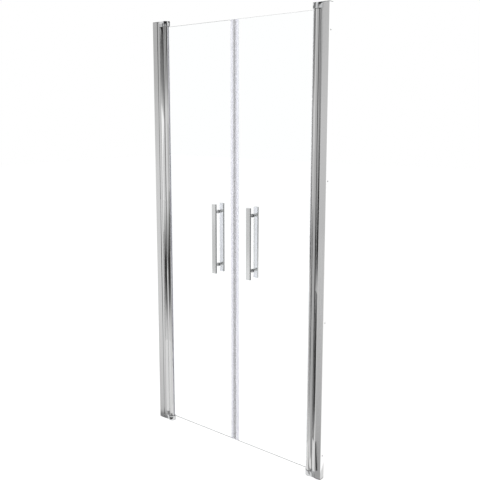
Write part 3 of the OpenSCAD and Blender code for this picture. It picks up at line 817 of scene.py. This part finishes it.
# %% Panes
ARRIS = 1.3 * MM
SEAM = 20 * MM              # an end face nearer than this to the middle is the one in the closing seal
SQUARE_ON = 0.999           # the share of a face's normal along an axis from which it counts as square to it
for side in SIDES:
    node = side + "_glass"
    shape = merged_copy(node)
    sharp = [edge for edge in shape.edges if edge.calc_face_angle(0) > SHARP]
    bmesh.ops.bevel(shape, geom=sharp, offset=ARRIS, offset_type="OFFSET", segments=1, profile=0.5,
                    affect="EDGES", material=-1, clamp_overlap=True)
    for face in shape.faces:
        at_the_seam = abs(face.normal.x) > SQUARE_ON and abs(face.calc_center_median().x) < SEAM
        face.material_index = 0 if abs(face.normal.y) > SQUARE_ON or at_the_seam else 1
    pane = finish_piece(shape, node, [toughened_glass, ground_edge])
    pane.visible_shadow = False     # clear glass lets the lamps' light pass
    print(pane.name, sum(p.material_index for p in pane.data.polygons), "ground faces")

# %% [markdown]
# ## Seals, gaskets and magnets
#
# The seal on a leaf's free edge clips over the glass and carries the magnet strip in its nose, which is the
# clearer of its two plastics. The gasket holds the pane in the slot of the round profile. Both are right in
# section. They are drawn a hair slimmer on every face, so that none of their faces lies exactly on a face
# of the glass, and then get their eased edges. The magnets stay as the CAD has them, plain strips inside
# the seal, and get their material.

# %% Seals, gaskets and magnets
HAIR_OF_AIR = 0.05 * MM
NOSE = 8 * MM               # from the contact plane to the edge of the glass
for side in SIDES:
    for node in (side + "_seal", side + "_glazing_gasket"):
        shape = merged_copy(node)
        shape.normal_update()
        inwards = [(vert, vert.normal * vert.calc_shell_factor() * HAIR_OF_AIR) for vert in shape.verts]
        for vert, move in inwards:
            vert.co -= move
        ends = [vert.co.x for vert in shape.verts]
        contact = max(ends) if side == "left" else min(ends)
        for face in shape.faces:
            in_nose = node == side + "_seal" and abs(face.calc_center_median().x - contact) < NOSE
            face.material_index = 1 if in_nose else 0
        strip = finish_piece(shape, node, [milky_pvc, clear_pvc] if node == side + "_seal" else [milky_pvc])
        round_edges(strip, EASED)
        strip.visible_shadow = False    # clear PVC too
        print(strip.name)
    magnet = frame["nodes"][side + "_magnet"]
    magnet.data.materials.clear()
    magnet.data.materials.append(magnet_strip)

# %% [markdown]
# ## Turned parts
#
# Pins, bushes, standoffs, washers, sleeves, studs and screw covers are all bodies of revolution. Each
# outline below is half of the part's section, in millimetres from its middle, and runs round the section
# once.

# %% Outlines in millimetres
def scaled(outline):
    """An outline written in millimetres, in metres."""
    return [(radius * MM, height * MM) for radius, height in outline]


def bar_outline(radius, length, chamfer):
    """Half the section of a plain bar with chamfered ends, about its middle, in metres."""
    half = length / 2
    return [(0, -half), (radius - chamfer, -half), (radius, -half + chamfer), (radius, half - chamfer),
            (radius - chamfer, half), (0, half)]


def centre(pair):
    """The middle of a low and a high corner."""
    return (pair[0] + pair[1]) / 2


print(len(bar_outline(3 * MM, 37 * MM, 0.6 * MM)), "points make a pin")

# %% Pivot pins
PIN_RADIUS = 3 * MM
PIN_CHAMFER = 0.6 * MM
pins = solids_of("pivot_pins")
length = pins[0][1].z - pins[0][0].z
places = [Matrix.Translation(centre(pair)) for pair in pins]
shape = repeated(turned(bar_outline(PIN_RADIUS, length, PIN_CHAMFER)), places)
print(finish_piece(shape, "pivot_pins", [stainless_steel]).name, round(length / MM), "mm long")

# %% Pivot bushes
# A thin flange lies in the gap between cap and round profile and carries the leaf. A sleeve holds the pin.
BUSH_BORE = 3.06
MID_HEIGHT = 0.9            # in metres: the bushes below it stand upright, those above it hang
bush = scaled([(BUSH_BORE, 0.4), (BUSH_BORE + 0.3, 0), (9.6, 0), (10, 0.25), (10, 0.45), (9.7, 0.7),
               (4.23, 0.7), (4.23, 22.3), (3.9, 22.7), (BUSH_BORE, 22.7)])
for side in SIDES:
    places = []
    for low, high in solids_of(side + "_bushes"):
        sleeve_up = low.z < MID_HEIGHT
        middle = centre((low, high))
        middle.z = low.z if sleeve_up else high.z
        places.append(laid_along((0, 0, 1 if sleeve_up else -1), middle))
    piece = finish_piece(repeated(turned(bush, hollow=True), places), side + "_bushes", [natural_nylon])
    print(piece.name, len(places))

# %% Standoffs
# The barrel stands on the washer and its spigot enters the bar. A groove near each end makes it look turned.
standoff = scaled([(3.02, 0), (6.1, 0), (6.5, 0.4), (6.5, 2.4), (6.15, 2.7), (6.15, 3.3), (6.5, 3.6),
                   (6.5, 15.4), (6.15, 15.7), (6.15, 16.3), (6.5, 16.6), (6.5, 18.6), (6.1, 19), (4, 19),
                   (4, 24.6), (3.6, 25), (0, 25), (0, 10.02), (3.02, 10.02)])
for side in SIDES:
    places = []
    for low, high in solids_of(side + "_standoffs"):
        outwards = 1 if low.y > 0 else -1
        foot = Vector(((low.x + high.x) / 2, low.y if outwards > 0 else high.y, (low.z + high.z) / 2))
        places.append(laid_along((0, outwards, 0), foot))
    piece = finish_piece(repeated(turned(standoff, hollow=True), places), side + "_standoffs", [chrome_plate])
    print(piece.name, len(places))

# %% Washers and hole sleeves
washer = scaled([(3.2, -0.5), (7.2, -0.5), (7.5, -0.25), (7.5, 0.25), (7.2, 0.5), (3.2, 0.5)])
sleeve = scaled([(3.2, -3), (4.7, -3), (4.98, -2.7), (4.98, 2.7), (4.7, 3), (3.2, 3)])
for side in SIDES:
    for node, outline, material in ((side + "_washers", washer, soft_rubber),
                                    (side + "_hole_sleeves", sleeve, natural_nylon)):
        places = [laid_along((0, 1, 0), centre(pair)) for pair in solids_of(node)]
        piece = finish_piece(repeated(turned(outline, hollow=True), places), node, [material])
        print(piece.name, len(places))

# %% Threaded studs
# An M6 thread has a pitch of 1 mm. Rings of that pitch look the same from outside as the real helix.
THREAD_PITCH = 1.0
TEETH = 27
CREST, ROOT = 2.98, 2.5
STUD_END, FIRST_TOOTH = 14, -13.5
thread = [(0, -STUD_END), (ROOT, -STUD_END)]
for tooth in range(TEETH):
    foot = FIRST_TOOTH + tooth * THREAD_PITCH
    thread += [(CREST, foot + 0.05), (CREST, foot + 0.2), (ROOT, foot + 0.55), (ROOT, foot + 0.7)]
thread += [(ROOT, STUD_END), (0, STUD_END)]
for side in SIDES:
    node = side + "_handle_studs"
    places = [laid_along((0, 1, 0), centre(pair)) for pair in solids_of(node)]
    print(finish_piece(repeated(turned(scaled(thread), steps=24), places), node, [stainless_steel]).name)

# %% Screw covers
# A snap cover is a shallow dome over the screw's head. Its rim meets the channel and the inside is hollow.
cover = scaled([(3.65, 0), (5.3, 0), (5.5, 0.2), (5.5, 2.2), (5.3, 2.9), (4.7, 3.4), (3.6, 3.75), (2, 3.95),
                (0, 4), (0, 2.55), (3.65, 2.55)])
places = []
for low, high in solids_of("screw_covers"):
    places.append(laid_along((0, 1, 0), ((low.x + high.x) / 2, low.y, (low.z + high.z) / 2)))
piece = finish_piece(repeated(turned(cover, hollow=True), places), "screw_covers", [chrome_plate])
print(piece.name, len(places))

# %% [markdown]
# ## Screws
#
# Pan-head screws with a cross recess, and grub screws with a hexagon socket. Both are turned solids whose
# drive is sunk in: for the socket the open end is bridged to a hexagon, which is pushed down, and for the
# cross recess the top of the head is inset and sunk, and its rim is drawn in between four arms.

# %% Grub screws
GRUB_RADIUS = 1.99 * MM
SOCKET_WIDTH = 2 * MM


def grub_screw(radius, length, socket):
    """A grub screw along Z about its middle, with its hexagon socket at the upper end."""
    half = length / 2
    shape = turned([(0, -half), (radius * 0.5, -half), (radius, -half + radius * 0.4),
                    (radius, half - radius * 0.2), (radius * 0.85, half)])
    hexagon = bmesh.ops.create_circle(shape, cap_ends=False, segments=6,
                                      radius=socket / 2 / cos(pi / 6))["verts"]
    bmesh.ops.translate(shape, verts=hexagon, vec=(0, 0, half))
    inner = list({edge for vert in hexagon for edge in vert.link_edges})
    bmesh.ops.subdivide_edges(shape, edges=inner, cuts=7)
    loops = [edge for edge in shape.edges if edge.is_boundary or edge.is_wire]
    bmesh.ops.bridge_loops(shape, edges=loops)
    lip = [edge for edge in shape.edges if edge.is_boundary]
    sunk = points_in(bmesh.ops.extrude_edge_only(shape, edges=lip)["geom"])
    bmesh.ops.translate(shape, verts=sunk, vec=(0, 0, -length * 0.4))
    bottom = [edge for edge in shape.edges if edge.is_boundary]
    bmesh.ops.contextual_create(shape, geom=bottom)
    bmesh.ops.recalc_face_normals(shape, faces=shape.faces)
    return shape


trial = grub_screw(GRUB_RADIUS, 6 * MM, SOCKET_WIDTH)
print("grub screw", len(trial.faces), "faces, closed:", all(edge.is_manifold for edge in trial.edges))
trial.free()

# %% Place the grub screws
for side in SIDES:
    wallwards = -1 if side == "left" else 1
    for node, direction in ((side + "_bar_grubs", (wallwards, 0, 0)), (side + "_bush_grubs", (0, 1, 0))):
        solids = solids_of(node)
        length = max(solids[0][1] - solids[0][0])
        places = [laid_along(direction, centre(pair)) for pair in solids]
        shape = repeated(grub_screw(GRUB_RADIUS, length, SOCKET_WIDTH), places)
        piece = finish_piece(shape, node, [stainless_steel])
        print(piece.name, len(places))

# %% Pan-head screws
def pan_screw(shank_radius, shank_length, head_radius, head_height):
    """A pan-head screw along Z whose head's seat is at the origin and whose head points up."""
    shape = turned([(0, -shank_length), (shank_radius * 0.5, -shank_length),
                    (shank_radius, -shank_length + shank_radius * 0.6), (shank_radius, 0), (head_radius, 0),
                    (head_radius, head_height * 0.45), (head_radius * 0.9, head_height * 0.8),
                    (head_radius * 0.62, head_height)], steps=32)
    rim = [edge for edge in shape.edges if edge.is_boundary]
    top = bmesh.ops.contextual_create(shape, geom=rim)["faces"]
    bmesh.ops.inset_region(shape, faces=top, thickness=head_radius * 0.2, depth=0, use_even_offset=True)
    bmesh.ops.translate(shape, verts=top[0].verts[:], vec=(0, 0, -head_height * 0.6))
    for vert in top[0].verts:
        along = abs(cos(2 * Vector((1, 0)).angle(vert.co.xy)))
        vert.co.xy *= 0.35 + 0.55 * along ** 2
    bmesh.ops.recalc_face_normals(shape, faces=shape.faces)
    return shape


HEAD_RADIUS = 3.5 * MM
HEAD_HEIGHT = 2.4 * MM
SHANK_RADIUS = 2.1 * MM
for node, axis in (("cap_screws", 0), ("frame_screws", 1)):
    solids = solids_of(node)
    places = []
    for low, high in solids:
        direction = Vector((0, 0, 0))
        direction[axis] = -1 if axis == 0 and low.x < 0 else 1
        head_end = centre((low, high))
        head_end[axis] = high[axis] if direction[axis] > 0 else low[axis]
        places.append(laid_along(direction, head_end - direction * HEAD_HEIGHT))
    shank_length = max(solids[0][1] - solids[0][0]) - HEAD_HEIGHT
    screw = pan_screw(SHANK_RADIUS, shank_length, HEAD_RADIUS, HEAD_HEIGHT)
    closed = all(edge.is_manifold for edge in screw.edges)
    piece = finish_piece(repeated(screw, places), node, [stainless_steel])
    print(piece.name, len(places), "closed:", closed)

# %% [markdown]
# ## The count of pieces

# %% Count the pieces
print(len(made), "pieces made")
